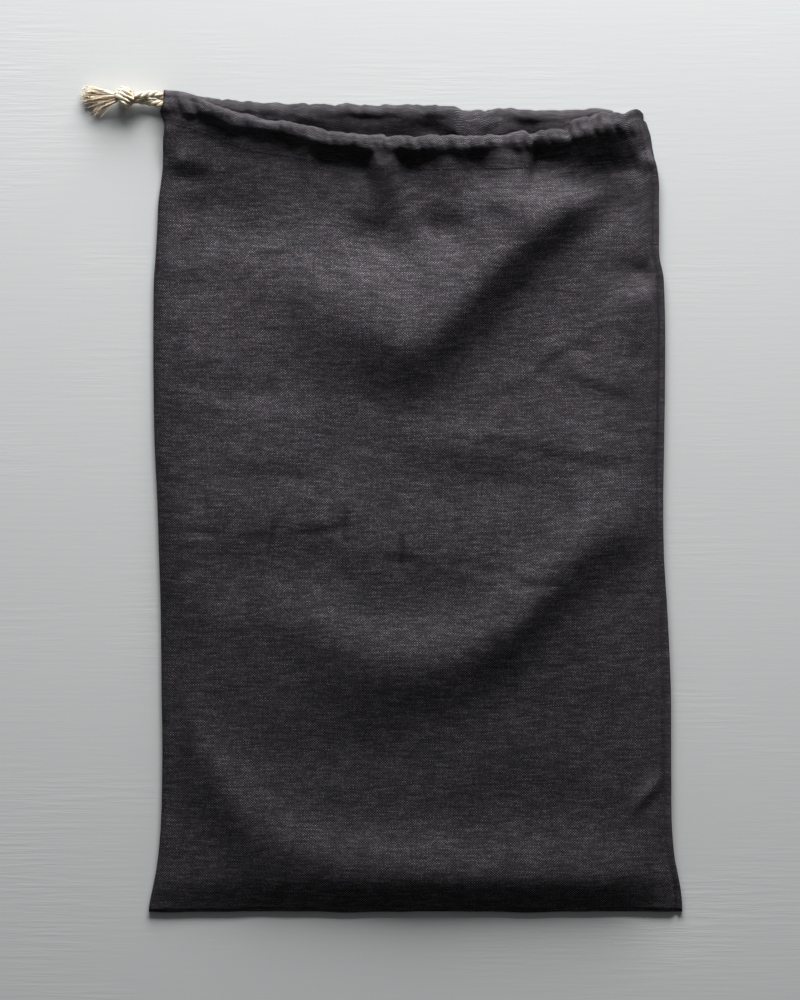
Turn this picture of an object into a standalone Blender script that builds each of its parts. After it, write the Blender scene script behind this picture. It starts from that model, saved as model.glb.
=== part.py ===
"""Linen bread bag with a cotton drawstring, lying flat on its back.

Metres, +Z up. The bag lies on the XY plane with its mouth towards +Y, and the origin is under the
middle of its outline. Sizes below are in millimetres and are scaled once, when a mesh is made.
"""
import math

import bmesh
import bpy
import numpy as np
from mathutils import Vector

MM = 0.001

# Driving sizes, mm.
CLOTH = 1.0            # a panel of washed linen with its loft
GAP = 0.3              # air between pieces that touch
CORD = 4.2             # three-strand cotton cord
EASE = 0.4             # air between the cord and the casing turned over it
ROLL = CORD / 2 + EASE + CLOTH / 2     # mid-cloth radius of that turn
SHOULDER = 1.6         # the casing is level this far before the cord's middle
DRAPE = 0.5            # the outer cloth's extra rise where it drapes over the cord
BACK_Z = CLOTH / 2
SEAM_Z = BACK_Z + CLOTH + GAP          # mid-cloth height of the front where it is sewn down
HEM_STEP = CLOTH + GAP                 # from a panel to its own hem at the casing seam
BOTTOM_Y = -231.2
SEAM_MARGIN = 4.0      # flat strip outside the side and bottom stitching
CROWN = 7.0            # how far the empty bag stands up between its seams
CROWN_REACH = 45.0
CASING_DEPTH = 18.5    # back casing, from its folded edge to its seam

# Grid rows along each panel and columns across it.
BODY_ROWS, CASING_ROWS, FOLD_ROWS, HEM_ROWS, BACK_ROWS = 25, 6, 8, 4, 13
FRONT_COLUMNS, BACK_COLUMNS = 31, 25

# Where the hems of the casings start and end: the cord turns free of them at both corners.
FRONT_HEM = -112.0, 97.0
BACK_HEM = -119.0, 108.0

# The two side edges at each height.
SIDES = ("y", "left", "right"), [
    (-231.2, -150.0, 150.1),
    (-225.0, -149.4, 149.9),
    (-213.0, -146.6, 148.2),
    (-202.0, -144.8, 146.0),
    (-186.0, -143.3, 144.4),
    (-135.0, -142.2, 143.8),
    (-84.0, -142.8, 142.8),
    (-34.0, -143.9, 139.9),
    (0.0, -145.0, 139.4),
    (34.0, -146.6, 139.9),
    (70.0, -147.2, 140.4),
    (118.0, -147.1, 139.9),
    (136.0, -146.1, 137.6),
    (169.0, -144.3, 137.0),
    (187.0, -142.0, 135.8),
    (203.0, -141.8, 132.8),
    (212.0, -141.6, 129.8),
    (218.0, -141.6, 127.6),
    (231.0, -141.6, 124.0),
]

# Folded top edge of the back panel.
BACK_TOP = ("x", "y"), [
    (-141.6, 230.6),
    (-132.0, 229.6),
    (-124.0, 227.6),
    (-115.0, 226.0),
    (-98.0, 224.2),
    (-75.0, 223.0),
    (-30.0, 222.4),
    (18.0, 221.6),
    (38.0, 219.4),
    (81.0, 218.9),
    (110.0, 219.3),
    (128.0, 218.4),
]

# The front casing: its folded top edge, the height of that fold's middle, the ridge where it lies over
# the cord and the line of its seam.
CASING = ("x", "top_y", "fold_z", "ridge_y", "ridge_z", "seam_y"), [
    (-141.6, 230.8, 3.8, 223.0, 4.2, 212.0),
    (-131.0, 229.2, 6.2, 222.3, 7.0, 210.0),
    (-121.0, 226.6, 9.3, 220.6, 9.8, 207.0),
    (-116.0, 224.4, 11.0, 219.4, 11.1, 205.0),
    (-111.0, 221.4, 11.6, 217.4, 11.6, 202.5),
    (-104.0, 218.4, 11.6, 214.6, 11.6, 200.0),
    (-90.0, 215.2, 11.6, 211.4, 11.6, 196.0),
    (-70.0, 212.0, 11.6, 208.2, 11.6, 193.0),
    (-45.0, 206.8, 11.6, 203.3, 11.6, 188.5),
    (-10.0, 204.0, 11.6, 200.7, 11.6, 186.0),
    (30.0, 204.4, 11.6, 201.0, 11.6, 186.0),
    (58.0, 205.6, 11.6, 202.1, 11.6, 186.5),
    (72.0, 206.4, 11.6, 202.9, 11.6, 187.0),
    (83.0, 208.4, 11.6, 204.8, 11.6, 187.5),
    (92.0, 213.0, 11.5, 208.6, 11.6, 188.2),
    (100.0, 215.8, 11.2, 211.6, 11.4, 189.0),
    (106.0, 217.0, 10.7, 212.8, 11.0, 189.6),
    (112.0, 217.4, 9.6, 213.2, 10.0, 190.2),
    (119.0, 218.0, 7.0, 212.6, 7.6, 191.0),
    (128.0, 218.2, 3.6, 211.0, 5.0, 192.0),
]

# Folds of the front, each a crest that runs across the bag with a soft slope above and below it.
DIAGONAL_FOLD = ("x", "y", "height", "above", "below"), [
    (-112.0, 132.0, 0.0, 24.0, 34.0),
    (-80.0, 122.0, 5.0, 28.0, 44.0),
    (-50.0, 108.0, 9.0, 36.0, 44.0),
    (-22.0, 94.0, 10.8, 42.0, 36.0),
    (0.0, 87.0, 11.6, 46.0, 29.0),
    (20.0, 102.0, 12.0, 40.0, 25.0),
    (48.0, 132.0, 11.8, 34.0, 24.0),
    (72.0, 154.0, 10.5, 26.0, 22.0),
    (93.0, 168.0, 8.0, 20.0, 17.0),
    (106.0, 176.0, 2.5, 14.0, 12.0),
    (118.0, 182.0, 0.0, 12.0, 12.0),
]
MIDDLE_FOLD = ("x", "y", "height", "above", "below"), [
    (-104.0, -50.0, 0.0, 22.0, 34.0),
    (-72.0, -64.0, 2.5, 24.0, 32.0),
    (-42.0, -81.0, 5.5, 26.0, 28.0),
    (-7.0, -91.0, 7.2, 28.0, 23.0),
    (26.0, -86.0, 8.0, 30.0, 20.0),
    (59.0, -66.0, 8.6, 32.0, 20.0),
    (83.0, -40.0, 8.8, 34.0, 20.0),
    (104.0, -22.0, 8.0, 32.0, 19.0),
    (126.0, -15.0, 5.8, 28.0, 18.0),
    (146.0, -12.0, 0.0, 20.0, 14.0),
]
LOWER_FOLD = ("x", "y", "height", "above", "below"), [
    (-140.0, -104.0, 0.0, 26.0, 30.0),
    (-121.0, -138.0, 2.6, 26.0, 34.0),
    (-100.0, -168.0, 4.2, 28.0, 32.0),
    (-60.0, -192.0, 4.6, 32.0, 26.0),
    (2.0, -202.0, 3.4, 34.0, 20.0),
    (70.0, -203.0, 2.8, 36.0, 20.0),
    (126.0, -199.0, 1.8, 34.0, 20.0),
    (146.0, -192.0, 0.0, 30.0, 20.0),
]
FOLDS = [DIAGONAL_FOLD, MIDDLE_FOLD, LOWER_FOLD]

# The cord, from the knot through the front casing, round inside the right corner, through the back
# casing and out to the knot again: x, y, z.
CORD_ROUTE = [
    (-158.0, 225.4, 3.6),
    (-154.0, 224.9, 3.2),
    (-148.0, 223.9, 3.3),
    (-141.6, 223.0, 4.2),
    (-136.0, 222.7, 5.5),
    (-131.0, 222.3, 7.0),
    (-126.0, 221.7, 8.4),
    (-121.0, 220.6, 9.8),
    (-116.0, 219.4, 11.1),
    (-111.0, 217.4, 11.6),
    (-104.0, 214.6, 11.6),
    (-90.0, 211.4, 11.6),
    (-70.0, 208.2, 11.6),
    (-45.0, 203.3, 11.6),
    (-10.0, 200.7, 11.6),
    (30.0, 201.0, 11.6),
    (58.0, 202.1, 11.6),
    (72.0, 202.9, 11.6),
    (83.0, 204.8, 11.6),
    (92.0, 208.6, 11.5),
    (100.0, 211.6, 11.2),
    (107.0, 212.9, 10.6),
    (112.2, 213.1, 9.7),
    (115.2, 213.4, 7.6),
    (115.0, 213.8, 5.3),
    (112.4, 214.2, 3.8),
    (107.0, 214.7, 3.5),
    (92.0, 215.4, 3.5),
    (66.0, 215.5, 3.5),
    (40.0, 216.2, 3.5),
    (14.0, 218.2, 3.5),
    (-50.0, 219.2, 3.5),
    (-98.0, 220.8, 3.5),
    (-115.0, 222.6, 3.5),
    (-124.0, 224.2, 3.5),
    (-132.0, 226.0, 3.5),
    (-141.6, 227.2, 3.5),
    (-148.0, 228.6, 4.8),
    (-153.6, 227.9, 7.4),
    (-157.8, 227.2, 8.3),
]

KNOT_CENTRE, KNOT_SIZE = (-163.4, 226.3, 5.9), (9.4, 12.0, 11.8)
BRUSH_START, BRUSH_END = -168.4, -188.8
BRUSH_LOBES = 9


def smooth_rows(table):
    """One function for each column of a table, a smooth cubic through its rows."""
    names, rows = table
    steps, *columns = np.array(rows, float).T

    def reader(values):
        slopes = np.gradient(values, steps)

        def read(at):
            at = np.clip(at, steps[0], steps[-1])
            i = np.clip(np.searchsorted(steps, at) - 1, 0, len(steps) - 2)
            span = steps[i + 1] - steps[i]
            t = (at - steps[i]) / span
            start, end = values[i], values[i + 1]
            return (start * (1 + 2 * t) * (1 - t) ** 2 + end * t * t * (3 - 2 * t)
                    + span * t * (1 - t) * (slopes[i] * (1 - t) - slopes[i + 1] * t))
        return read
    return {name: reader(values) for name, values in zip(names[1:], columns)}


def ease(value):
    """0 to 1 with level ends."""
    t = np.clip(value, 0.0, 1.0)
    return t * t * (3 - 2 * t)


def swell(value):
    """0 to 1, steep at first and level at the end, like cloth rising from a seam."""
    return 1 - (1 - np.clip(value, 0.0, 1.0)) ** 2


def mix(a, b, share):
    return a + (b - a) * share


sides = smooth_rows(SIDES)
back_top = smooth_rows(BACK_TOP)["y"]
casing = smooth_rows(CASING)
folds = [smooth_rows(table) for table in FOLDS]


def fold_height(fold, x, y):
    off = y - fold["y"](x)
    reach = np.where(off > 0, fold["above"](x), fold["below"](x))
    return np.maximum(fold["height"](x), 0) * np.exp(-(off / reach) ** 2)


def from_sides(x, y):
    """How far a point lies inside the left and the right seam."""
    return x - sides["left"](y) - SEAM_MARGIN, sides["right"](y) - SEAM_MARGIN - x


def body_height(x, y):
    """Middle of the front cloth between its seams, without the casing."""
    left, right = from_sides(x, y)
    side = np.minimum(left, right)
    bottom = y - BOTTOM_Y - SEAM_MARGIN
    crown = CROWN * swell(side / CROWN_REACH) * swell(bottom / CROWN_REACH)
    raised = sum(fold_height(fold, x, y) for fold in folds)
    return SEAM_Z + crown + raised * swell(side / 16) * swell(bottom / 14)


def casing_edge(x, y):
    """Falls to 0 where the front is sewn to the back at the corners; the left mouth stays open."""
    left, right = from_sides(x, y)
    mouth = ease((y - 211) / 8)
    return mix(swell(left / 12), 1.0, mouth) * swell(right / 10)


def front_height(x, y):
    """Middle of the front's outer cloth up to the top of its casing."""
    seam = casing["seam_y"](x)
    ridge = casing["ridge_y"](x)
    fold = casing["top_y"](x) - ROLL
    low = body_height(x, np.minimum(y, seam))
    over_ridge = casing["ridge_z"](x) + ROLL + DRAPE
    over_fold = casing["fold_z"](x) + ROLL
    height = mix(low, over_ridge, ease((y - seam) / (ridge - SHOULDER - seam)))
    height = mix(height, over_fold, ease((y - ridge) / np.maximum(fold - ridge, 0.1)))
    return mix(SEAM_Z, height, np.where(y > seam, casing_edge(x, y), 1.0))


def hem_height(x, y):
    """Middle of the front's hem, which runs back under the cord to the casing's seam."""
    seam = casing["seam_y"](x)
    ridge = casing["ridge_y"](x)
    low = front_height(x, seam) - HEM_STEP
    under_ridge = np.minimum(casing["ridge_z"](x), casing["fold_z"](x)) - ROLL
    return mix(low, under_ridge, ease((y - seam) / (ridge - SHOULDER - seam)))


def across(u, y):
    return mix(sides["left"](y), sides["right"](y), u)


def top_point(u, top):
    """The point of a top edge at the share u of the way across."""
    y = 215.0
    for _ in range(4):
        x = across(u, y)
        y = top(x)
    return x, y


def front_rows(u):
    """The front's section at the share u across: body, casing, fold, hem."""
    x_top, y_top = top_point(u, casing["top_y"])
    y_seam = casing["seam_y"](x_top)
    fold_y = y_top - ROLL
    rows = []
    for share in np.linspace(0, 1, BODY_ROWS) ** 0.95:
        y = mix(BOTTOM_Y, y_seam, share)
        x = across(u, y)
        rows.append((x, y, body_height(x, y)))
    for share in np.linspace(0, 1, CASING_ROWS + 1)[1:]:
        y = mix(y_seam, fold_y, share)
        x = mix(across(u, y), x_top, share)
        rows.append((x, y, front_height(x, y)))
    top_z = rows[-1][2]
    radius = min(ROLL, (top_z - SEAM_Z) / 2)
    for step in range(1, FOLD_ROWS + 1):
        turn = math.pi * step / FOLD_ROWS
        rows.append((x_top, fold_y + ROLL * math.sin(turn), top_z - radius * (1 - math.cos(turn))))
    for share in np.linspace(0, 1, HEM_ROWS + 1)[1:]:
        y = mix(fold_y, y_seam + 0.4, share)
        rows.append((mix(x_top, across(u, y), share), y, hem_height(x_top, y)))
    return rows


def back_rows(u):
    """The back's section at the share u across: flat, then turned over the cord and back."""
    x_top, y_top = top_point(u, back_top)
    back_sewn = top_point(1.0, back_top)[0] - SEAM_MARGIN
    fold_y, seam_y = y_top - ROLL, y_top - CASING_DEPTH
    rows = []
    for share in np.linspace(0, 1, BACK_ROWS):
        y = mix(BOTTOM_Y, fold_y, share)
        rows.append((across(u, y), y, BACK_Z))
    radius = ROLL * swell((back_sewn - x_top) / 11)
    for step in range(1, FOLD_ROWS + 1):
        turn = math.pi * step / FOLD_ROWS
        rows.append((x_top, fold_y + ROLL * math.sin(turn), BACK_Z + radius * (1 - math.cos(turn))))
    for share in np.linspace(0, 1, HEM_ROWS + 1)[1:]:
        y = mix(fold_y, seam_y, share)
        rows.append((x_top, y, mix(BACK_Z + 2 * ROLL, BACK_Z + HEM_STEP, ease(share))))
    return rows


def column_shares(count):
    """Shares across the bag, closer together towards both side seams."""
    even = np.linspace(-1, 1, count)
    return 0.5 + 0.5 * np.sign(even) * (1 - (1 - np.abs(even)) ** 1.35)


def cloth_panel(name, columns, section, kept_rows, hem, collection, material):
    """A grid laid along the section of each column, with its hem cut away at the corners."""
    shares = column_shares(columns)
    sections = [section(u) for u in shares]
    rows = len(sections[0])
    grid = bmesh.new()
    bmesh.ops.create_grid(grid, x_segments=columns - 1, y_segments=rows - 1, size=1.0)
    last_kept = 2 * (kept_rows - 1) / (rows - 1) - 1
    turned = [face for face in grid.faces if face.calc_center_median().y > last_kept]
    for vertex in grid.verts:
        column = round((vertex.co.x + 1) / 2 * (columns - 1))
        row = round((vertex.co.y + 1) / 2 * (rows - 1))
        vertex.co = Vector(sections[column][row]) * MM
    corners = [face for face in turned
               if not hem[0] < face.calc_center_median().x / MM < hem[1]]
    bmesh.ops.delete(grid, geom=corners, context="FACES")
    mesh = bpy.data.meshes.new(name)
    grid.to_mesh(mesh)
    grid.free()
    panel = bpy.data.objects.new(name, mesh)
    collection.objects.link(panel)
    solid = panel.modifiers.new("Solidify", "SOLIDIFY")
    solid.thickness = CLOTH * MM
    solid.offset = 0.0
    solid.use_even_offset = True
    mesh.materials.append(material)
    mesh.shade_smooth()
    return panel


def smooth_route(points, spacing):
    """Points at an even spacing along a smooth curve through the given ones."""
    points = np.array(points, float)
    runs = np.linalg.norm(np.diff(points, axis=0), axis=1)
    along = np.concatenate([[0.0], np.cumsum(runs)])
    table = ("along", "x", "y", "z"), np.column_stack([along, points])
    read = smooth_rows(table)
    steps = np.linspace(0, along[-1], round(along[-1] / spacing) + 1)
    return [tuple(read[axis](step) for axis in "xyz") for step in steps]


def make_cord(collection, material):
    curve = bpy.data.curves.new("drawstring", "CURVE")
    curve.dimensions = "3D"
    curve.bevel_depth = CORD / 2 * MM
    curve.bevel_resolution = 2
    curve.use_fill_caps = True
    route = smooth_route(CORD_ROUTE, 2 * CORD)
    spline = curve.splines.new("POLY")
    spline.points.add(len(route) - 1)
    for point, place in zip(spline.points, route):
        point.co = (*(Vector(place) * MM), 1.0)
    curve.materials.append(material)
    collection.objects.link(bpy.data.objects.new("drawstring", curve))


def make_knot(collection, material):
    """An overhand knot in the doubled cord: a lump with three slanting wraps, flat underneath."""
    ball = bmesh.new()
    bmesh.ops.create_uvsphere(ball, u_segments=20, v_segments=12, radius=0.5)
    for vertex in ball.verts:
        around = math.atan2(vertex.co.z, vertex.co.y)
        wrap = 1 + 0.07 * math.cos(3 * around + 9 * vertex.co.x)
        shaped = Vector((vertex.co.x, vertex.co.y * wrap, vertex.co.z * wrap))
        place = [c + s * v for c, s, v in zip(KNOT_CENTRE, KNOT_SIZE, shaped)]
        place[2] = max(place[2], 0.0)
        vertex.co = Vector(place) * MM
    mesh_object("cord_knot", ball, collection, material)


def make_brush(collection, material):
    """The frayed strands past the knot: a ridged cone that widens and droops onto the surface."""
    rows = ("along", "y", "z", "half_width", "half_height"), [
        (0.0, 226.0, 5.6, 3.2, 3.2),
        (0.3, 226.2, 4.9, 4.6, 3.9),
        (0.65, 226.0, 4.1, 6.2, 3.8),
        (1.0, 225.6, 3.4, 7.3, 3.2),
    ]
    shape = smooth_rows(rows)
    brush = bmesh.new()
    around = 4 * BRUSH_LOBES
    rings = []
    for along in np.linspace(0, 1, 7):
        ridge = 0.14 * ease(along * 1.5)
        ring = []
        for i in range(around):
            turn = 2 * math.pi * i / around
            lobe = 1 + ridge * math.cos(BRUSH_LOBES * turn)
            uneven = 1.2 * along * math.sin(2 * turn + 0.7)
            ring.append(brush.verts.new(Vector((
                mix(BRUSH_START, BRUSH_END, along) + uneven,
                shape["y"](along) + shape["half_width"](along) * lobe * math.cos(turn),
                max(shape["z"](along) + shape["half_height"](along) * lobe * math.sin(turn), 0.0),
            )) * MM))
        rings.append(ring)
    for near, far in zip(rings, rings[1:]):
        for i in range(around):
            j = (i + 1) % around
            brush.faces.new((near[i], near[j], far[j], far[i]))
    brush.faces.new(rings[0])
    brush.faces.new(rings[-1])
    bmesh.ops.recalc_face_normals(brush, faces=brush.faces)
    mesh_object("frayed_end", brush, collection, material)


def mesh_object(name, shape, collection, material):
    mesh = bpy.data.meshes.new(name)
    shape.to_mesh(mesh)
    shape.free()
    mesh.materials.append(material)
    mesh.shade_smooth()
    collection.objects.link(bpy.data.objects.new(name, mesh))


def plain_material(name, colour, roughness):
    material = bpy.data.materials.new(name)
    material.use_nodes = True
    shader = material.node_tree.nodes["Principled BSDF"]
    shader.inputs["Base Color"].default_value = (*colour, 1.0)
    shader.inputs["Roughness"].default_value = roughness
    shader.inputs["Metallic"].default_value = 0.0
    return material


def main():
    for old in list(bpy.data.objects):
        bpy.data.objects.remove(old)
    bag = bpy.data.collections.new("linen_bread_bag")
    bpy.context.scene.collection.children.link(bag)
    front_linen = plain_material("charcoal linen front", (0.036, 0.034, 0.037), 0.92)
    back_linen = plain_material("charcoal linen back", (0.033, 0.031, 0.034), 0.92)
    cotton = plain_material("cream cotton cord", (0.74, 0.66, 0.50), 0.85)
    knotted = plain_material("cream cotton knot", (0.74, 0.66, 0.50), 0.85)
    frayed = plain_material("cream cotton brush", (0.78, 0.70, 0.54), 0.88)
    cloth_panel("back_panel", BACK_COLUMNS, back_rows, BACK_ROWS + FOLD_ROWS // 2, BACK_HEM,
                bag, back_linen)
    cloth_panel("front_panel", FRONT_COLUMNS, front_rows, BODY_ROWS + CASING_ROWS + FOLD_ROWS // 2,
                FRONT_HEM, bag, front_linen)
    make_cord(bag, cotton)
    make_knot(bag, knotted)
    make_brush(bag, frayed)


main()
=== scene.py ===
import math
import random

import bmesh
import bpy
import numpy as np
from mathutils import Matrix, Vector


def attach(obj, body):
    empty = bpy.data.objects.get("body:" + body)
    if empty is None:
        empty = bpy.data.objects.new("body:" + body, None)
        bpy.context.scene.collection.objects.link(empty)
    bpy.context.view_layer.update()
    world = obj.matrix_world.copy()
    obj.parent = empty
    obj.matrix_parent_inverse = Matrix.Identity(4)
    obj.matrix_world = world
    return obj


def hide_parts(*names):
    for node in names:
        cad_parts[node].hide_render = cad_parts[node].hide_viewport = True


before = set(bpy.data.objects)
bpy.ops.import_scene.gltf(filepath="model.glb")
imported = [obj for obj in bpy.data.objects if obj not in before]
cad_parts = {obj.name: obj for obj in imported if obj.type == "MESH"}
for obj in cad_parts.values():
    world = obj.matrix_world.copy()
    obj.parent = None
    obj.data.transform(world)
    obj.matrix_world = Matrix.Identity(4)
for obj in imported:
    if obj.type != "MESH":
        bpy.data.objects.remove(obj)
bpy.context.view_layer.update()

mm = 0.001
print("frame loaded:", ", ".join(sorted(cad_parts)))


# small maths that the pieces share

def ease(value):  # 0 to 1 with level ends
    t = np.clip(value, 0.0, 1.0)
    return t * t * (3 - 2 * t)


def swell(value):  # 0 to 1, steep first and level at the end
    return 1 - (1 - np.clip(value, 0.0, 1.0)) ** 2


def mix(a, b, share):
    return a + (b - a) * share


def hill(distance, reach):  # 1 at the middle, 0 far away
    return np.exp(-(distance / reach) ** 2)


def bumps(rows, x, y):  # hollows and bumps from rows of middle, reach both ways and rise
    return sum(rise * hill(x - midX, reachX) * hill(y - midY, reachY)
               for midX, midY, reachX, reachY, rise in rows)


def readRows(names, rows):  # one smooth function for each column after the first
    steps, *columns = np.array(rows, float).T

    def reader(values):
        slopes = np.gradient(values, steps)

        def read(at):
            at = np.clip(at, steps[0], steps[-1])
            i = np.clip(np.searchsorted(steps, at) - 1, 0, len(steps) - 2)
            span = steps[i + 1] - steps[i]
            t = (at - steps[i]) / span
            return (values[i] * (1 + 2 * t) * (1 - t) ** 2 + values[i + 1] * t * t * (3 - 2 * t)
                    + span * t * (1 - t) * (slopes[i] * (1 - t) - slopes[i + 1] * t))
        return read
    return {name: reader(values) for name, values in zip(names[1:], columns)}


def smoothRoute(points, step):  # even steps along a smooth curve through the points
    points = np.array(points, float)
    runs = np.linalg.norm(np.diff(points, axis=0), axis=1)
    along = np.concatenate([[0.0], np.cumsum(runs)])
    names = ("along", *"xyz"[:points.shape[1]])
    read = readRows(names, np.column_stack([along, points]))
    at = np.linspace(0, along[-1], max(2, round(along[-1] / step) + 1))
    return np.column_stack([read[axis](at) for axis in names[1:]])


def ripple(at, waves):  # a sum of waves: length, height, phase
    return sum(height * np.sin(2 * math.pi * at / length + phase) for length, height, phase in waves)


def crumple(seed, cell):  # soft uneven ground, about -1 to 1, with bumps about one cell wide
    count = 64  # cells each way before the ground repeats
    ground = np.random.default_rng(seed).uniform(-1.7, 1.7, (count, count))

    def weights(t):
        return ((1 - t) ** 3 / 6, (3 * t ** 3 - 6 * t ** 2 + 4) / 6,
                (-3 * t ** 3 + 3 * t ** 2 + 3 * t + 1) / 6, t ** 3 / 6)

    def read(x, y):
        column, row = np.floor(x / cell).astype(int), np.floor(y / cell).astype(int)
        across, up = weights(x / cell - column), weights(y / cell - row)
        return sum(across[i] * up[j] * ground[(row + j) % count, (column + i) % count]
                   for i in range(4) for j in range(4))
    return read


def lobes(seed, shortest, longest):  # rounded gathers side by side, 0 in the creases between them
    rng = np.random.default_rng(seed)
    count, first = 100, -175.0
    edges = first + np.cumsum(rng.uniform(shortest, longest, count))
    sizes = rng.uniform(0.35, 1.0, count)

    def read(x):
        i = np.clip(np.searchsorted(edges, x) - 1, 0, count - 2)
        t = np.clip((x - edges[i]) / (edges[i + 1] - edges[i]), 0, 1)
        return sizes[i] * (1 - (2 * t - 1) ** 2) ** 0.7
    return read


def nearRoute(route, x, y):  # distance to a route, which side of it, and how far along it
    points = smoothRoute(route, 4.0)
    best = np.full(np.shape(x), 1e9)
    side, share = np.zeros(np.shape(x)), np.zeros(np.shape(x))
    for i, (start, end) in enumerate(zip(points, points[1:])):
        run = end - start
        t = np.clip(((x - start[0]) * run[0] + (y - start[1]) * run[1]) / (run @ run), 0, 1)
        offX, offY = x - start[0] - t * run[0], y - start[1] - t * run[1]
        distance = np.hypot(offX, offY)
        closer = distance < best
        best = np.where(closer, distance, best)
        side = np.where(closer, np.sign(run[0] * offY - run[1] * offX), side)
        share = np.where(closer, (i + t) / (len(points) - 1), share)
    return best, side, share


# shader maths written as expressions

class Wire:
    def __init__(self, finish, socket):
        self.finish, self.socket = finish, socket

    def __add__(self, other):
        return self.finish.maths("ADD", self, other)

    def __sub__(self, other):
        return self.finish.maths("SUBTRACT", self, other)

    def __rsub__(self, other):
        return self.finish.maths("SUBTRACT", other, self)

    def __mul__(self, other):
        return self.finish.maths("MULTIPLY", self, other)

    def __truediv__(self, other):
        return self.finish.maths("DIVIDE", self, other)

    __radd__ = __add__
    __rmul__ = __mul__


class Finish:
    def __init__(self, name):
        self.material = bpy.data.materials.new(name)
        self.material.use_nodes = True
        self.tree = self.material.node_tree
        self.tree.nodes.clear()

    def node(self, kind, settings, values, output=0):
        made = self.tree.nodes.new("ShaderNode" + kind)
        for key, value in settings.items():
            if key == "stops":
                self.setStops(made.color_ramp.elements, value)
            else:
                setattr(made, key, value)
        for key, value in values.items():
            socket = made.inputs[key] if isinstance(key, int) else next(
                s for s in made.inputs if key in (s.identifier, s.name))
            if isinstance(value, Wire):
                self.tree.links.new(value.socket, socket)
            else:
                socket.default_value = value
        if isinstance(output, int):
            return Wire(self, made.outputs[output]) if made.outputs else None
        return Wire(self, next(s for s in made.outputs if output in (s.identifier, s.name)))

    def setStops(self, elements, stops):
        while len(elements) < len(stops):
            elements.new(1.0)
        for element, (place, colour) in zip(elements, stops):
            element.position, element.color = place, (*colour, 1.0)

    def maths(self, operation, *values):
        return self.node("Math", {"operation": operation}, dict(enumerate(values)))

    def ramp(self, value, low, high):  # 0 to 1 between two values, softly
        return self.node("MapRange", {"interpolation_type": "SMOOTHSTEP"},
                         {"Value": value, "From Min": low, "From Max": high})

    def blend(self, share, a, b):
        return self.node("Mix", {"data_type": "RGBA"},
                         {"Factor_Float": share, "A_Color": a, "B_Color": b}, "Result_Color")

    def shade(self, colour, value):  # a colour made lighter or darker
        grey = self.node("CombineColor", {}, {0: value, 1: value, 2: value})
        return self.node("Mix", {"data_type": "RGBA", "blend_type": "MULTIPLY"},
                         {"Factor_Float": 1.0, "A_Color": colour, "B_Color": grey}, "Result_Color")

    def place(self, x, y, z=0.0):
        return self.node("CombineXYZ", {}, {0: x, 1: y, 2: z})

    def noise(self, vector, scale, detail=2.0, roughness=0.5):
        return self.node("TexNoise", {"noise_dimensions": "3D"},
                         {"Vector": vector, "Scale": scale, "Detail": detail, "Roughness": roughness})

    def clothPlace(self):  # across and along the cloth, in metres
        spread = self.node("UVMap", {"uv_map": "cloth"}, {})
        return tuple(self.node("SeparateXYZ", {}, {0: spread}, axis) for axis in "XY")

    def done(self, colour, roughness, bump, strength, depth, fixed):
        raised = self.node("Bump", {}, {"Height": bump, "Strength": strength, "Distance": depth})
        shader = self.node("BsdfPrincipled", {},
                           {"Base Color": colour, "Roughness": roughness, "Normal": raised, **fixed})
        self.node("OutputMaterial", {}, {"Surface": shader})
        return self.material


# the camera, straight above the lying bag

cameraPlan = {"middle": (-8.7, 0.3), "height": 562.9, "distance": 5000.0, "farthest": 20000.0,
              "sensor": 36.0}


def makeCamera(plan):
    lens = bpy.data.cameras.new("camera")
    lens.sensor_width = plan["sensor"]
    lens.lens = plan["sensor"] * plan["distance"] / plan["height"]
    lens.clip_end = plan["farthest"] * mm
    camera = bpy.data.objects.new("camera", lens)
    camera.location = Vector((*plan["middle"], plan["distance"])) * mm
    bpy.context.collection.objects.link(camera)
    bpy.context.scene.camera = camera


makeCamera(cameraPlan)


# shared mesh makers

def addMesh(name, mesh, material):
    mesh.materials.append(material)
    mesh.shade_smooth()
    piece = bpy.data.objects.new(name, mesh)
    bpy.context.collection.objects.link(piece)
    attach(piece, "root")
    return piece


def gridMesh(name, places, spread, drop, wear=None):  # places and spread are rows by columns by numbers
    rows, columns = places.shape[:2]
    grid = bmesh.new()
    bmesh.ops.create_grid(grid, x_segments=columns - 1, y_segments=rows - 1, size=1.0)
    extra = [face for face in grid.faces if drop(*cellOf(face.calc_center_median(), rows, columns))]
    bmesh.ops.delete(grid, geom=extra, context="FACES")
    mesh = bpy.data.meshes.new(name)
    grid.to_mesh(mesh)
    grid.free()
    flat = np.zeros(len(mesh.vertices) * 3, np.float32)
    mesh.vertices.foreach_get("co", flat)
    flat = flat.reshape(-1, 3)
    column = np.rint((flat[:, 0] + 1) / 2 * (columns - 1)).astype(int)
    row = np.rint((flat[:, 1] + 1) / 2 * (rows - 1)).astype(int)
    mesh.vertices.foreach_set("co", (places[row, column] * mm).astype(np.float32).ravel())
    corners = np.zeros(len(mesh.loops), np.int32)
    mesh.loops.foreach_get("vertex_index", corners)
    layer = mesh.uv_layers.new(name="cloth")
    layer.data.foreach_set("uv", (spread[row, column][corners] * mm).astype(np.float32).ravel())
    # the painted crease shade is kept as a point attribute
    if wear is not None:
        kept = mesh.attributes.new("wear", "FLOAT", "POINT")
        kept.data.foreach_set("value", wear[row, column].astype(np.float32))
    mesh.update()
    return mesh


def cellOf(middle, rows, columns):
    return int((middle.y + 1) / 2 * (rows - 1)), int((middle.x + 1) / 2 * (columns - 1))


def thicken(piece, thickness):
    solid = piece.modifiers.new("Solidify", "SOLIDIFY")
    solid.thickness = thickness * mm
    solid.offset = 0.0


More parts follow.
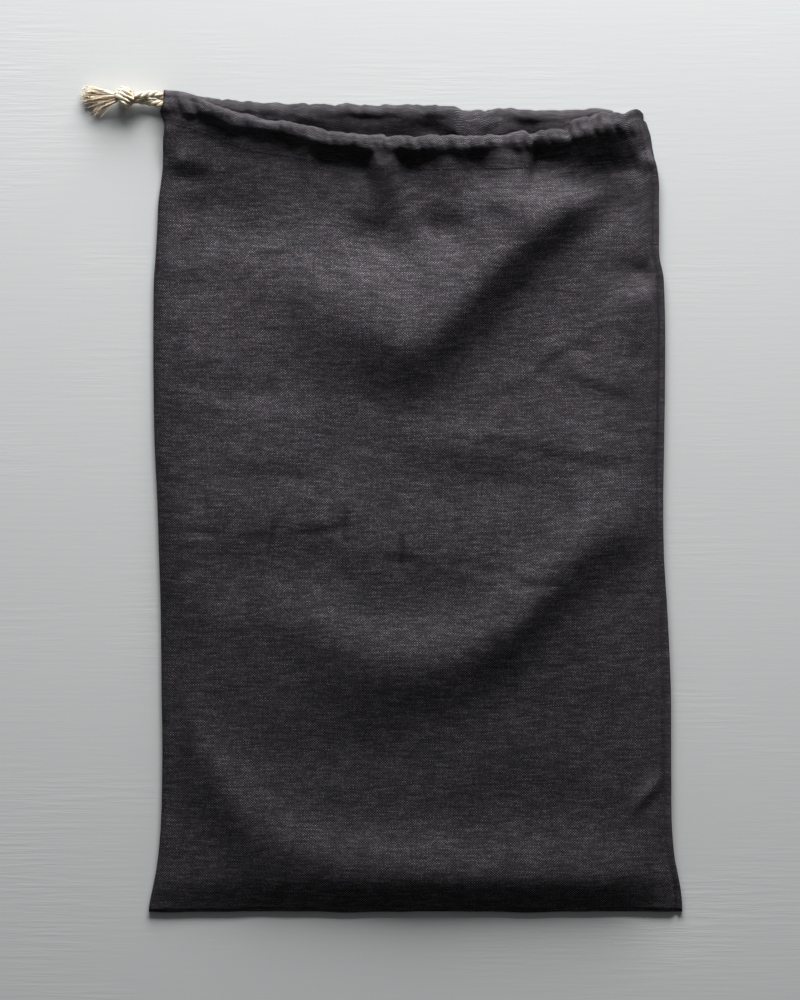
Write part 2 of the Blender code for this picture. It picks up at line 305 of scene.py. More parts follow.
def frames(points):  # an even, untwisted pair of side directions along a route
    points = np.array(points, float)
    ahead = np.gradient(points, axis=0)
    ahead /= np.linalg.norm(ahead, axis=1)[:, None]
    side = np.zeros_like(points)
    up = np.array((0.0, 0.0, 1.0))
    side[0] = np.cross(ahead[0], up)
    for i in range(len(points)):
        raw = side[max(i - 1, 0)]
        raw = raw - (raw @ ahead[i]) * ahead[i]
        side[i] = raw / np.linalg.norm(raw)
    return ahead, side, np.cross(side, ahead)


def tubeRings(points, radii, sides, turn=None, flatten=None):
    # rings of a tube along a route, as an array: rings by sides by 3
    _, side, up = frames(points)
    angle = np.linspace(0, 2 * math.pi, sides, endpoint=False)[None, :]
    if turn is not None:
        angle = angle + np.array(turn)[:, None]
    radii = np.array(radii, float)[:, None]
    rings = (np.array(points)[:, None, :] + side[:, None, :] * (np.cos(angle) * radii)[..., None]
             + up[:, None, :] * (np.sin(angle) * radii)[..., None])
    if flatten is not None:
        rings[..., 2] = np.maximum(rings[..., 2], flatten)
    return rings


def joinTubes(name, tubes, step):  # closed tubes as one mesh; the map runs round and along each
    verts, faces, spread = [], [], []
    for number, rings in enumerate(tubes):
        first = len(verts)
        count, sides = rings.shape[:2]
        verts.extend(rings.reshape(-1, 3) * mm)
        for i in range(count - 1):
            for j in range(sides):
                k = (j + 1) % sides
                a, b = first + i * sides, first + (i + 1) * sides
                faces.append((a + j, a + k, b + k, b + j))
                v = (i * step + number * 0.05, (i + 1) * step + number * 0.05)
                spread.extend(((j / sides, v[0]), ((j + 1) / sides, v[0]),
                               ((j + 1) / sides, v[1]), (j / sides, v[1])))
        faces.append(tuple(first + j for j in reversed(range(sides))))
        faces.append(tuple(first + (count - 1) * sides + j for j in range(sides)))
        spread.extend([(0.5, 0.0)] * sides + [(0.5, (count - 1) * step)] * sides)
    mesh = bpy.data.meshes.new(name)
    mesh.from_pydata(verts, [], faces)
    layer = mesh.uv_layers.new(name="cloth")
    layer.data.foreach_set("uv", np.array(spread, np.float32).ravel())
    mesh.update()
    return mesh


# the cotton cord, its knot and its frayed end

cord = {
    "diameter": 4.2, "strands": 3, "strandRadius": 1.22, "strandOff": 0.96, "pitch": 13.0,
    "step": 0.9, "sides": 12,
    # from the knot through the front casing, round inside the right corner, through the back
    # casing and out to the knot again
    "route": [
        (-158.0, 225.4, 3.6), (-154.0, 224.9, 3.2), (-148.0, 223.9, 3.3), (-141.6, 223.0, 4.2),
        (-136.0, 222.7, 5.5), (-131.0, 222.3, 7.0), (-126.0, 221.7, 8.4), (-121.0, 220.6, 9.8),
        (-116.0, 219.4, 11.1), (-111.0, 217.4, 11.6), (-104.0, 214.6, 11.6), (-90.0, 211.4, 11.6),
        (-70.0, 208.2, 11.6), (-45.0, 203.3, 11.6), (-10.0, 200.7, 11.6), (30.0, 201.0, 11.6),
        (58.0, 202.1, 11.6), (72.0, 202.9, 11.6), (83.0, 204.8, 11.6), (92.0, 208.6, 11.5),
        (100.0, 211.6, 11.2), (107.0, 212.9, 10.6), (112.2, 213.1, 9.7), (115.2, 213.4, 7.6),
        (115.0, 213.8, 5.3), (112.4, 214.2, 3.8), (107.0, 214.7, 3.5), (92.0, 215.4, 3.5),
        (66.0, 215.5, 3.5), (40.0, 216.2, 3.5), (14.0, 218.2, 3.5), (-50.0, 219.2, 3.5),
        (-98.0, 220.8, 3.5), (-115.0, 222.6, 3.5), (-124.0, 224.2, 3.5),
        (-132.0, 226.0, 3.5), (-141.6, 227.2, 3.5), (-148.0, 228.6, 4.8), (-153.6, 227.9, 7.4),
        (-157.8, 227.2, 8.3),
    ],
}


def twistedRope(route, plan):  # the strands of a rope laid along a route
    _, side, up = frames(route)
    along = np.arange(len(route)) * plan["step"]
    strands = []
    for k in range(plan["strands"]):
        turn = 2 * math.pi * (along / plan["pitch"] + k / plan["strands"])
        middle = route + plan["strandOff"] * (np.cos(turn)[:, None] * side + np.sin(turn)[:, None] * up)
        radius = np.full(len(route), plan["strandRadius"])
        strands.append(tubeRings(middle, radius, plan["sides"], turn=turn))
    return strands


def cottonFinish():
    f = Finish("creamCotton")
    around, along = f.clothPlace()
    yarns = f.maths("SINE", (around * 5.0 + along * 420.0) * (2 * math.pi))
    fibres = f.noise(f.place(around * 60.0, along * 260.0 - around * 20.0), 1.0, 3.0, 0.6)
    tufts = f.noise(f.place(around * 3.0, along * 420.0), 1.0, 2.0, 0.5)
    # painted light and shade: each strand gets the lit colours on its outer side and the darker deep
    # colours on its side towards the other strands
    outwardLit = f.ramp(f.maths("COSINE", around * (2 * math.pi)), -0.75, 0.45)
    lit = f.blend(f.ramp(tufts, 0.35, 0.7), (0.74, 0.67, 0.50, 1), (0.84, 0.78, 0.62, 1))
    deep = f.blend(f.ramp(fibres, 0.3, 0.7), (0.52, 0.41, 0.31, 1), (0.68, 0.56, 0.43, 1))
    colour = f.blend(outwardLit, deep, lit)
    colour = f.shade(colour, f.ramp(yarns * 0.5 + fibres, 0.0, 1.1) * 0.24 + 0.78)
    height = yarns * 0.5 + fibres * 1.2
    return f.done(colour, fibres * 0.2 + 0.75, height, 0.8, 0.00022,
                  {"Specular IOR Level": 0.15})


cotton = cottonFinish()
cordRoute = smoothRoute(cord["route"], cord["step"])
drawstring = addMesh("cottonDrawstring", joinTubes("cottonDrawstring", twistedRope(cordRoute, cord),
                                                   cord["step"] * mm), cotton)
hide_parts("drawstring")

knot = {"middle": (-163.3, 227.0, 6.0), "turns": 3.1, "start": -1.2, "half": 3.1, "girth": (4.0, 3.6),
        "tilt": 34, "points": 140, "step": 0.5, "pitch": 12.0, "core": (3.4, 3.6), "floor": 0.05}


def makeKnot(plan):  # wraps of the cord pulled tight on the slant
    share = np.linspace(0, 1, plan["points"])
    turn = 2 * math.pi * plan["turns"] * share + plan["start"]
    plump = 0.78 + 0.22 * swell(np.minimum(share, 1 - share) * 4)
    along = plan["half"] * (2 * share - 1)
    sideways = plan["girth"][0] * plump * np.cos(turn)
    tilt = math.radians(plan["tilt"])
    wraps = np.column_stack([
        plan["middle"][0] + along * math.cos(tilt) - sideways * math.sin(tilt),
        plan["middle"][1] + along * math.sin(tilt) + sideways * math.cos(tilt),
        plan["middle"][2] + plan["girth"][1] * plump * np.sin(turn),
    ])
    rope = {**cord, "step": plan["step"], "pitch": plan["pitch"]}
    ropes = twistedRope(smoothRoute(wraps, plan["step"]), rope)
    angle = np.linspace(0.12, math.pi - 0.12, 14)
    coreLine = np.array(plan["middle"]) + np.outer(np.cos(angle), (plan["core"][0], 0.0, 0.0))
    ropes.append(tubeRings(coreLine, np.sin(angle) * plan["core"][1], 18))
    for rings in ropes:
        rings[..., 2] = np.maximum(rings[..., 2], plan["floor"])
    return joinTubes("tiedKnot", ropes, plan["step"] * mm)


tiedKnot = addMesh("tiedKnot", makeKnot(knot), cotton)
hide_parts("cord_knot")

brush = {"start": (-167.0, 226.8, 6.0), "locks": 15, "yarns": 7, "hairs": 110, "seed": 12,
         "length": (14.5, 22.0), "yarnRadius": 0.42, "hairRadius": 0.13, "coil": 0.62, "step": 0.8,
         "floor": 0.03}


def lockRoute(rng, plan, lead, length, droop, lift):  # one lock of yarns, still curling from its twist
    start, swing, phase = plan["start"], rng.uniform(0.3, 0.85), rng.uniform(0, 6.3)
    points = []
    for t in np.linspace(0, 1, 9):
        wave = swing * min(1.0, 2 * t) * math.sin(5.2 * t + phase)
        height = mix(start[2] + 0.6 * lift, 2.3 + 1.9 * lift, t ** 1.2)
        points.append((
            start[0] + 2.4 - (length + 2.4) * t * (1 - 0.24 * droop * t),
            start[1] + lead * (0.9 + 5.4 * t ** 0.9) + wave - droop * 5.0 * t ** 1.7,
            height + 0.6 * math.sin(4.3 * t + 2 * phase) * t,
        ))
    return smoothRoute(points, plan["step"])


def makeBrush(plan):  # unlaid yarns past the knot in loose locks, with finer hairs between them
    rng = random.Random(plan["seed"])
    tubes = []
    for number in range(plan["locks"]):
        lead = -1 + 2 * (number + rng.uniform(0.1, 0.9)) / plan["locks"]
        droop = rng.uniform(0.5, 1.0) if lead < -0.45 else 0.0
        length = rng.uniform(*plan["length"]) * (1.0 - 0.1 * abs(lead))
        lock = lockRoute(rng, plan, lead, length, droop, rng.uniform(-1, 1))
        share = np.linspace(0, 1, len(lock))
        pull, twist = rng.uniform(0.7, 1.3), rng.uniform(4.0, 8.0)
        for yarn in range(plan["yarns"]):
            turn = 2 * math.pi * yarn / plan["yarns"] + twist * share
            off = plan["coil"] * pull * (0.55 + 0.9 * share ** 2 * rng.uniform(0.3, 1.1))
            route = lock + np.column_stack([0 * turn, off * np.cos(turn), off * np.sin(turn)])
            route = route[:max(8, round(len(route) * rng.uniform(0.8, 1.0)))]
            radii = plan["yarnRadius"] * rng.uniform(0.75, 1.15) * np.linspace(1.1, 0.6, len(route))
            tubes.append(tubeRings(route, radii, 7, flatten=plan["floor"]))
    for _ in range(plan["hairs"]):
        lead = rng.uniform(-1.1, 1.0)
        droop = rng.uniform(0.3, 1.2) if lead < -0.3 else 0.0
        hair = lockRoute(rng, plan, lead, rng.uniform(*plan["length"]), droop, rng.uniform(-1, 1.4))
        radii = plan["hairRadius"] * np.linspace(1.0, 0.6, len(hair))
        tubes.append(tubeRings(hair, radii, 4, flatten=plan["floor"]))
    return joinTubes("brushEnd", tubes, plan["step"] * mm)


def brushFinish():
    f = Finish("loosenedCotton")
    around, along = f.clothPlace()
    fibres = f.noise(f.place(around * 8.0, along * 500.0), 1.0, 3.0, 0.6)
    yarn = f.noise(f.place(along * 18.0, 0.3), 1.0, 1.0, 0.5)
    # the pale colours are the cotton's own; the darker tan ones are a shaded copy, painted shade scattered
    # along the yarns
    pale = f.blend(f.ramp(fibres, 0.3, 0.72), (0.68, 0.58, 0.43, 1), (0.88, 0.82, 0.66, 1))
    shadedCotton = f.blend(f.ramp(fibres, 0.3, 0.72), (0.38, 0.27, 0.20, 1), (0.62, 0.50, 0.37, 1))
    colour = f.blend(f.ramp(yarn, 0.4, 0.56), shadedCotton, pale)
    return f.done(colour, fibres * 0.2 + 0.78, fibres, 0.6, 0.0001,
                  {"Specular IOR Level": 0.15})


brushEnd = addMesh("brushEnd", makeBrush(brush), brushFinish())
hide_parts("frayed_end")
print("knot and frayed end made")


# the linen

outline = {
    "bottom": -231.2,
    "sides": readRows(("y", "left", "right"), [
        (-231.2, -150.0, 150.1), (-228.0, -149.8, 150.1), (-222.0, -148.6, 149.6),
        (-213.0, -146.6, 148.2), (-202.0, -144.8, 146.0), (-186.0, -143.3, 144.4),
        (-160.0, -142.4, 143.9), (-135.0, -142.2, 143.8), (-110.0, -142.6, 143.7),
        (-84.0, -142.8, 142.8), (-56.0, -143.2, 141.3), (-34.0, -143.9, 139.9),
        (0.0, -145.0, 139.4), (34.0, -146.6, 139.9), (70.0, -147.2, 140.4),
        (105.0, -147.2, 140.3), (118.0, -147.1, 139.9), (127.0, -146.8, 139.4),
        (136.0, -146.1, 137.4), (152.0, -145.2, 137.1), (169.0, -144.3, 137.0),
        (180.0, -142.8, 136.9), (187.0, -142.0, 135.9), (196.0, -141.8, 133.6),
        (203.0, -141.8, 132.8), (210.0, -141.1, 131.0), (213.5, -141.5, 129.6),
        (217.0, -143.0, 128.2), (220.5, -144.0, 127.0), (223.0, -143.4, 126.2),
        (225.5, -141.9, 125.2), (231.0, -141.5, 124.0),
    ]),
    "backTop": readRows(("x", "y"), [
        (-141.6, 230.6), (-132.0, 229.6), (-124.0, 227.6), (-115.0, 226.2), (-98.0, 224.4),
        (-82.0, 223.4), (-48.0, 222.7), (-14.0, 222.2), (18.0, 221.7), (22.5, 221.2), (27.0, 219.4),
        (37.0, 219.2), (50.0, 220.2), (66.0, 219.4), (81.0, 218.9), (104.0, 219.9), (109.0, 219.6),
        (110.8, 219.2), (112.6, 217.1), (128.0, 216.8),
    ]),
    "frontTop": readRows(("x", "y"), [
        (-141.6, 230.8), (-132.0, 229.6), (-124.0, 227.6), (-118.5, 224.4), (-113.0, 221.6),
        (-108.0, 219.2), (-97.5, 217.2), (-91.5, 215.6), (-84.5, 213.4), (-73.5, 212.7),
        (-65.0, 210.9), (-56.5, 209.2), (-48.0, 207.0), (-39.5, 205.8), (-24.5, 204.8),
        (-18.0, 204.6), (-15.5, 203.4), (-12.5, 204.4), (-0.5, 203.6), (8.0, 204.6), (25.0, 204.2),
        (42.0, 204.8), (54.0, 205.2), (58.5, 206.8), (61.5, 206.9), (65.0, 205.3), (70.0, 207.2),
        (76.0, 208.0), (83.0, 207.6), (86.0, 208.6), (88.0, 212.2), (93.0, 213.8), (99.5, 215.6),
        (105.0, 217.0), (112.0, 217.2), (118.0, 217.2), (121.0, 219.0), (126.0, 219.4),
        (128.0, 217.4),
    ]),
    # where along its depth the back hem starts to sink
    "backDrop": readRows(("x", "share"), [
        (-141.0, 0.1), (-60.0, 0.08), (0.0, 0.08), (16.0, 0.3), (25.0, 0.62), (50.0, 0.6),
        (60.0, 0.3), (74.0, 0.3), (82.0, 0.7), (112.0, 0.75), (128.0, 0.75),
    ]),
    # how far each stretch of the front fills the hollow below its casing
    "pleat": readRows(("x", "share"), [
        (-145.0, 1.0), (-138.0, 1.0), (-131.0, 0.92), (-125.0, 0.6), (-119.0, 0.15), (-112.0, 0.0),
        (-90.0, 0.15), (-84.0, 0.05), (-66.0, 0.05), (-60.0, 0.35), (-54.0, 0.1), (-40.0, 0.15),
        (-28.0, 0.0), (-23.0, 0.9), (-13.0, 0.95), (-8.0, 0.3), (6.0, 0.3), (14.0, 0.7),
        (22.0, 0.75), (30.0, 0.4), (40.0, 0.45), (46.0, 1.0), (58.0, 1.0), (63.5, 0.9),
        (67.5, 0.05), (80.0, 0.0), (97.0, 0.0), (112.0, 0.0), (124.0, 0.1), (136.0, 0.3),
    ]),
    # the front casing: middle of its fold, the ridge over the cord, its seam
    "casing": readRows(("x", "foldZ", "ridgeY", "ridgeZ", "seamY"), [
        (-141.6, 3.8, 223.0, 4.2, 212.0), (-131.0, 6.2, 222.3, 7.0, 210.0),
        (-121.0, 9.3, 220.6, 9.8, 207.0), (-116.0, 11.0, 219.4, 11.1, 205.0),
        (-111.0, 11.6, 217.4, 11.6, 202.5), (-104.0, 11.6, 214.6, 11.6, 200.0),
        (-90.0, 11.6, 211.4, 11.6, 196.0), (-70.0, 11.6, 208.2, 11.6, 193.0),
        (-45.0, 11.6, 203.3, 11.6, 188.5), (-10.0, 11.6, 200.7, 11.6, 186.0),
        (30.0, 11.6, 201.0, 11.6, 186.0), (58.0, 11.6, 202.1, 11.6, 186.5),
        (72.0, 11.6, 202.7, 11.6, 187.0), (83.0, 11.6, 203.8, 12.6, 187.5),
        (92.0, 11.8, 205.8, 13.8, 188.2), (100.0, 11.6, 208.4, 13.8, 189.0),
        (106.0, 11.0, 210.0, 12.8, 189.6), (112.0, 9.6, 210.8, 11.0, 190.2),
        (119.0, 7.0, 211.0, 7.6, 191.0), (128.0, 3.6, 210.0, 5.0, 192.0),
    ]),
}

# how far the cloth stands off the board along the bag
loft = readRows(("y", "height"), [
    (-231.0, 2.7), (-205.0, 3.1), (-190.0, 3.7), (-150.0, 6.2), (-80.0, 9.6), (-40.0, 10.6),
    (0.0, 10.4), (45.0, 8.9), (90.0, 7.2), (140.0, 5.8), (180.0, 5.2), (220.0, 5.0),
])["height"]

# crests that run across the front, with a soft slope above and below each
folds = {
    "diagonal": readRows(("x", "y", "height", "above", "below"), [
        (-112.0, 132.0, 0.0, 24.0, 34.0), (-80.0, 122.0, 1.8, 26.0, 38.0),
        (-50.0, 110.0, 7.2, 30.0, 36.0), (-22.0, 97.0, 10.8, 36.0, 30.0),
        (0.0, 90.0, 12.0, 38.0, 26.0), (20.0, 107.0, 13.2, 34.0, 26.0),
        (48.0, 135.0, 13.4, 33.0, 22.0), (72.0, 156.5, 11.4, 26.0, 18.0),
        (90.0, 167.5, 8.8, 20.0, 14.0), (101.0, 171.0, 4.8, 15.0, 11.0),
        (110.0, 171.0, 0.0, 12.0, 12.0),
    ]),
    "waist": readRows(("x", "y", "height", "above", "below"), [
        (-150.0, -12.0, 0.5, 26.0, 16.0), (-99.0, -19.0, 1.6, 28.0, 14.0), (-48.0, -15.0, 1.5, 26.0, 14.0),
        (-34.0, -28.0, 1.7, 26.0, 14.0), (2.0, -32.0, 1.7, 24.0, 13.0), (36.0, -38.0, 1.2, 22.0, 12.0),
        (73.0, -46.0, 0.0, 20.0, 12.0),
    ]),
    "middle": readRows(("x", "y", "height", "above", "below"), [
        (-104.0, -50.0, 0.0, 22.0, 34.0), (-72.0, -64.0, 1.8, 24.0, 32.0),
        (-42.0, -84.0, 4.4, 24.0, 28.0), (-7.0, -93.0, 6.4, 22.0, 24.0),
        (26.0, -87.0, 7.3, 25.0, 22.0), (59.0, -65.0, 8.2, 26.0, 21.0),
        (83.0, -38.0, 8.0, 28.0, 21.0), (104.0, -21.0, 6.8, 28.0, 19.0),
        (126.0, -14.0, 4.6, 26.0, 18.0), (146.0, -11.0, 0.0, 20.0, 14.0),
    ]),
    "lower": readRows(("x", "y", "height", "above", "below"), [
        (-140.0, -108.0, 0.0, 26.0, 30.0), (-121.0, -142.0, 3.0, 26.0, 34.0),
        (-100.0, -174.0, 4.8, 24.0, 30.0), (-60.0, -200.0, 4.7, 21.0, 20.0),
        (2.0, -209.0, 5.2, 21.0, 19.0), (70.0, -210.0, 4.4, 21.0, 19.0),
        (126.0, -207.0, 2.4, 22.0, 17.0), (146.0, -200.0, 0.0, 24.0, 16.0),
    ]),
}

# smaller creases of the front, each a route with its rise and its reach on either side; some also have
# painted shade that darkens the cloth's colour along them, and the two upright ones near the mouth rise 0
# and are painted shade only
creases = [
    {"route": [(-145, -13), (-118, -17), (-96, -20), (-76, -20)], "rise": -1.1, "reach": (1.4, 4.0),
     "paintedShade": 0.4},
    {"route": [(-68, -18), (-52, -16.5), (-36, -13)], "rise": -0.7, "reach": (1.3, 4.0), "paintedShade": 0.3},
    {"route": [(-43, -31), (-17, -33), (25, -35), (73, -46)], "rise": -0.6, "reach": (1.4, 4.0),
     "paintedShade": 0.25},
    {"route": [(-116, 6), (-117, -2), (-118.5, -15)], "rise": -1.0, "reach": (1.7, 2.6), "paintedShade": 0.4},
    {"route": [(-79, -10), (-81, -22), (-85, -34)], "rise": -1.2, "reach": (1.6, 2.4), "paintedShade": 0.55},
    {"route": [(-39, -6), (-40, -16), (-40.5, -29)], "rise": -1.2, "reach": (1.6, 2.4), "paintedShade": 0.5},
    {"route": [(-6.5, -17), (-7.5, -30), (-8.5, -46)], "rise": -1.1, "reach": (1.5, 2.2), "paintedShade": 0.45},
    {"route": [(53, -48), (66, -47.5), (84, -45)], "rise": -0.9, "reach": (1.3, 2.2), "paintedShade": 0.4},
    # these two upright creases rise 0: they are painted shade only
    {"route": [(103.2, 218), (102.6, 212), (101, 204)], "rise": 0.0, "reach": (1.5, 1.5), "paintedShade": 0.6},
    {"route": [(65.5, 200), (64.5, 190), (64, 178)], "rise": 0.0, "reach": (1.5, 1.5), "paintedShade": 0.5},
    {"route": [(-146, 123), (-104, 136), (-43, 147)], "rise": 0.45, "reach": (4.5, 2.4)},
    {"route": [(14, 40), (59, 34), (87, 27), (137, 27)], "rise": 0.75, "reach": (8.0, 2.8)},
    {"route": [(36, 57), (60, 70), (81, 85), (121, 107)], "rise": 0.7, "reach": (8.0, 3.0)},
    {"route": [(78, 77), (104, 66), (140, 53)], "rise": 0.7, "reach": (7.0, 2.6), "paintedShade": 0.12},
    {"route": [(-76, 17), (-63, 11), (-51, 3)], "rise": -0.8, "reach": (2.0, 3.0)},
    {"route": [(14, 62), (40, 48), (70, 46)], "rise": 0.4, "reach": (6.0, 2.4)},
    {"route": [(-60, 60), (-30, 44), (10, 20)], "rise": 0.35, "reach": (6.0, 3.0)},
    {"route": [(-140, 60), (-110, 52), (-86, 56)], "rise": 0.35, "reach": (5.0, 2.4)},
    {"route": [(60, -6), (92, 4), (134, 2)], "rise": 0.4, "reach": (6.0, 2.6)},
    {"route": [(-130, -60), (-96, -72), (-60, -70)], "rise": 0.35, "reach": (6.0, 2.6)},
    {"route": [(117, -178), (132, -164), (148, -147)], "rise": 2.8, "reach": (3.8, 3.0)},
]

# soft hollows and bumps: middle, reach both ways and rise
dents = [
    (-131.0, 203.0, 7.0, 5.0, -1.8), (-132.0, 192.0, 8.0, 5.0, 1.8), (-126.0, 181.0, 14.0, 6.0, -2.0),
    (-118.0, 166.0, 15.0, 9.0, -1.8), (-23.0, 153.0, 9.0, 7.0, -1.2),
    (-106.0, 156.0, 46.0, 25.0, -3.8), (-22.0, 144.0, 14.0, 13.0, -4.4), (16.0, 152.0, 12.0, 10.0, -2.8),
    (36.0, 164.0, 20.0, 11.0, 2.4), (53.0, 173.0, 11.5, 15.0, 6.5), (44.0, 160.0, 9.0, 4.0, -1.0),
    (91.0, 179.0, 24.0, 9.0, -4.6), (112.0, 165.0, 15.0, 12.0, -3.2),
    (130.0, 128.0, 12.0, 7.0, -4.4), (131.0, 112.0, 12.0, 9.0, 2.2), (124.0, 99.0, 18.0, 14.0, 2.0),
    (-118.0, -40.0, 30.0, 26.0, -0.6), (-70.0, -42.0, 34.0, 20.0, -1.2),
    (-133.0, -40.0, 16.0, 38.0, 2.6), (-133.0, 56.0, 12.0, 12.0, 1.2),
    (50.0, 8.0, 26.0, 12.0, -2.2), (20.0, 30.0, 30.0, 10.0, 1.4), (85.0, 28.0, 40.0, 30.0, 2.0),
    (70.0, 24.0, 18.0, 9.0, -0.9), (110.0, 72.0, 18.0, 12.0, 1.2),
    (-70.0, 40.0, 30.0, 16.0, 1.0), (-120.0, 80.0, 18.0, 20.0, 1.2), (-40.0, -140.0, 40.0, 16.0, -1.2),
    (60.0, -140.0, 30.0, 14.0, 1.0), (110.0, -120.0, 20.0, 18.0, -1.0), (-120.0, 118.0, 20.0, 9.0, -1.2),
    (-84.0, 24.0, 22.0, 8.0, 0.9), (-96.0, 60.0, 26.0, 8.0, -0.9), (4.0, 40.0, 26.0, 9.0, 0.9),
]

# lumps and hollows of the front casing: middle, reach both ways and rise
casingDents = [
    (95.0, 211.0, 5.0, 5.0, 1.8), (110.5, 212.0, 5.0, 4.5, 2.0), (123.0, 212.0, 3.0, 5.0, 1.2),
    (102.6, 214.5, 2.2, 4.0, -1.0), (106.0, 189.0, 20.0, 9.0, -3.4), (122.0, 187.0, 9.0, 7.0, -1.2),
    (77.0, 191.0, 9.0, 7.0, -2.2), (72.0, 204.5, 4.0, 3.2, 1.4), (60.0, 203.0, 3.0, 3.0, 1.2),
    (-58.0, 199.5, 3.0, 3.0, 1.6), (-128.0, 217.0, 3.4, 3.0, 0.3), (-133.0, 221.0, 3.0, 5.0, -0.5),
]

# lumps and hollows of the back hem, in the same order
hemDents = [
    (36.0, 211.0, 9.0, 5.0, 1.4), (9.0, 210.0, 8.0, 6.0, -2.2), (-27.0, 215.5, 15.0, 3.5, -1.3),
    (63.0, 210.5, 8.0, 5.5, -1.8), (-92.0, 217.0, 10.0, 4.0, -0.8), (-58.0, 216.0, 7.0, 4.0, 0.4),
]

# gathers that run down from the front casing: x at the top and bottom, their ends, width and rise
gathers = [
    {"x": (-18, -17), "y": (202, 176), "reach": 5.5, "rise": 0.4},
    {"x": (18, 20), "y": (202, 176), "reach": 6.5, "rise": 0.3},
    {"x": (57, 54), "y": (203, 156), "reach": 5.0, "rise": 0.8},
    {"x": (68, 66), "y": (202, 176), "reach": 2.0, "rise": -1.4},
    {"x": (-60, -56), "y": (205, 196), "reach": 3.0, "rise": 1.4},
    {"x": (92, 96), "y": (205, 194), "reach": 4.0, "rise": 1.2},
    {"x": (0, -2), "y": (196, 172), "reach": 5.0, "rise": -0.6},
    {"x": (37, 36), "y": (196, 170), "reach": 5.0, "rise": -0.7},
]

linen = {
    "thickness": 0.62, "seamZ": 1.8, "backZ": 0.5, "crownReach": 46.0, "roll": 2.95, "backRim": 4.2,
    "seamSink": 1.2, "backHemDepth": 15.5, "backHemEnd": 1.9, "backCeiling": 7.4,
    "sideSeam": 4.0, "stepDepth": 7.6, "stepReach": 4.9, "longSlope": 19.0,
    "frontRows": {"body": 196, "casing": 20, "roll": 12, "hem": 12}, "frontColumns": 194,
    "backRows": {"body": 64, "roll": 12, "hem": 16}, "backColumns": 130,
    "frontHem": (-112.0, 99.0), "backHem": (-124.0, 110.5),
    "rollWaves": [(23.0, 0.35, 0.4), (13.1, 0.25, 1.9)],
    "cornerSeam": [(121.9, 217.0), (124.1, 213.6), (126.2, 209.6), (127.9, 200.6), (129.7, 194.4),
                   (131.9, 188.6), (132.9, 181.6)],
}

# changes along the mouth: where each begins and how far it takes, below 0 where it runs to the left
mouthChanges = {
    "slackLeft": (-47.0, -16.0), "slackRight": (68.0, 12.0), "longSlope": (76.0, 14.0),
    "gatheredLeft": (-132.0, 14.0), "gatheredRight": (122.0, -8.0),
    "closedLeft": (-114.0, -5.0), "closedRight": (99.5, 4.0),
    "closedLower": (109.5, 3.5), "closedFlat": (112.8, 2.2),
    "backGatheredLeft": (-136.0, 8.0), "backGatheredRight": (108.0, -6.0),
    "backScallops": (-100.0, 20.0), "backLevel": (-124.0, 12.0), "backLumps": (-55.0, 20.0),
}

stitches = {
    "long": 2.3, "pitch": 3.1, "radius": 0.27, "sink": 0.12, "step": 0.1, "every": 5,
    "seam": (-134.0, 122.0), "side": (180.0, -226.0), "sideInset": 3.6,
}

clothWidth = float(outline["sides"]["right"](0.0) - outline["sides"]["left"](0.0))


def changed(name, x):  # 0 before a change along the mouth, 1 past it
    start, reach = mouthChanges[name]
    return ease((x - start) / reach)


def across(u, y):  # x at a share of the bag's width
    return mix(outline["sides"]["left"](y), outline["sides"]["right"](y), u)


def topPoint(u, top):  # where that share meets the top edge, found in a few rounds
    y = np.full(np.shape(u), 215.0)
    for _ in range(5):
        x = across(u, y)
        y = top(x)
    return x, y


bigLobes, smallLobes = lobes(21, 8.0, 16.0), lobes(22, 3.2, 7.0)
coarseGround, mediumGround, fineGround = crumple(3, 38.0), crumple(4, 15.0), crumple(5, 5.5)


def gathered(x):  # how far the gathers stand out, about -0.5 to 0.6
    return 0.64 * bigLobes(x) + 0.52 * smallLobes(x) - 0.55


def fineRelief(x, y):  # uneven lie of washed linen
    return 0.45 * coarseGround(x, y) + 0.2 * mediumGround(x, y * 1.3) + 0.045 * fineGround(x, y)


def creaseRelief(x, y):
    total = np.zeros(np.shape(x))
    for crease in creases:
        distance, side, share = nearRoute(crease["route"], x, y)
        reach = np.where(side > 0, *crease["reach"])
        ends = ease(share / 0.3) * ease((1 - share) / 0.3)
        broken = np.clip(0.85 + 0.7 * mediumGround(x * 1.4 + 50, y * 1.4), 0.15, 1.5)
        total += crease["rise"] * hill(distance, reach) * ends * broken
    return total


def creaseShade(x, y):  # 1 on open cloth, lower along creases and the corner seam, where shade is painted into the colour
    kept = np.ones(np.shape(x))
    seam = {"route": linen["cornerSeam"], "paintedShade": 0.45, "wide": 0.8}
    for crease in [*creases, seam]:
        if "paintedShade" in crease:
            distance, _, share = nearRoute(crease["route"], x, y)
            ends = ease(share / 0.2) * ease((1 - share) / 0.2)
            kept *= 1 - crease["paintedShade"] * hill(distance, crease.get("wide", 1.25)) * ends
    return kept


def gatherRelief(x, y):
    total = np.zeros(np.shape(x))
    for gather in gathers:
        high, low = gather["y"]
        share = (high - y) / (high - low)
        middle = mix(*gather["x"], share)
        ends = ease((share + 0.25) / 0.45) * ease((1.3 - share) / 0.8)
        total += gather["rise"] * hill(x - middle, gather["reach"] * (1 + 0.35 * share)) * ends
    return total


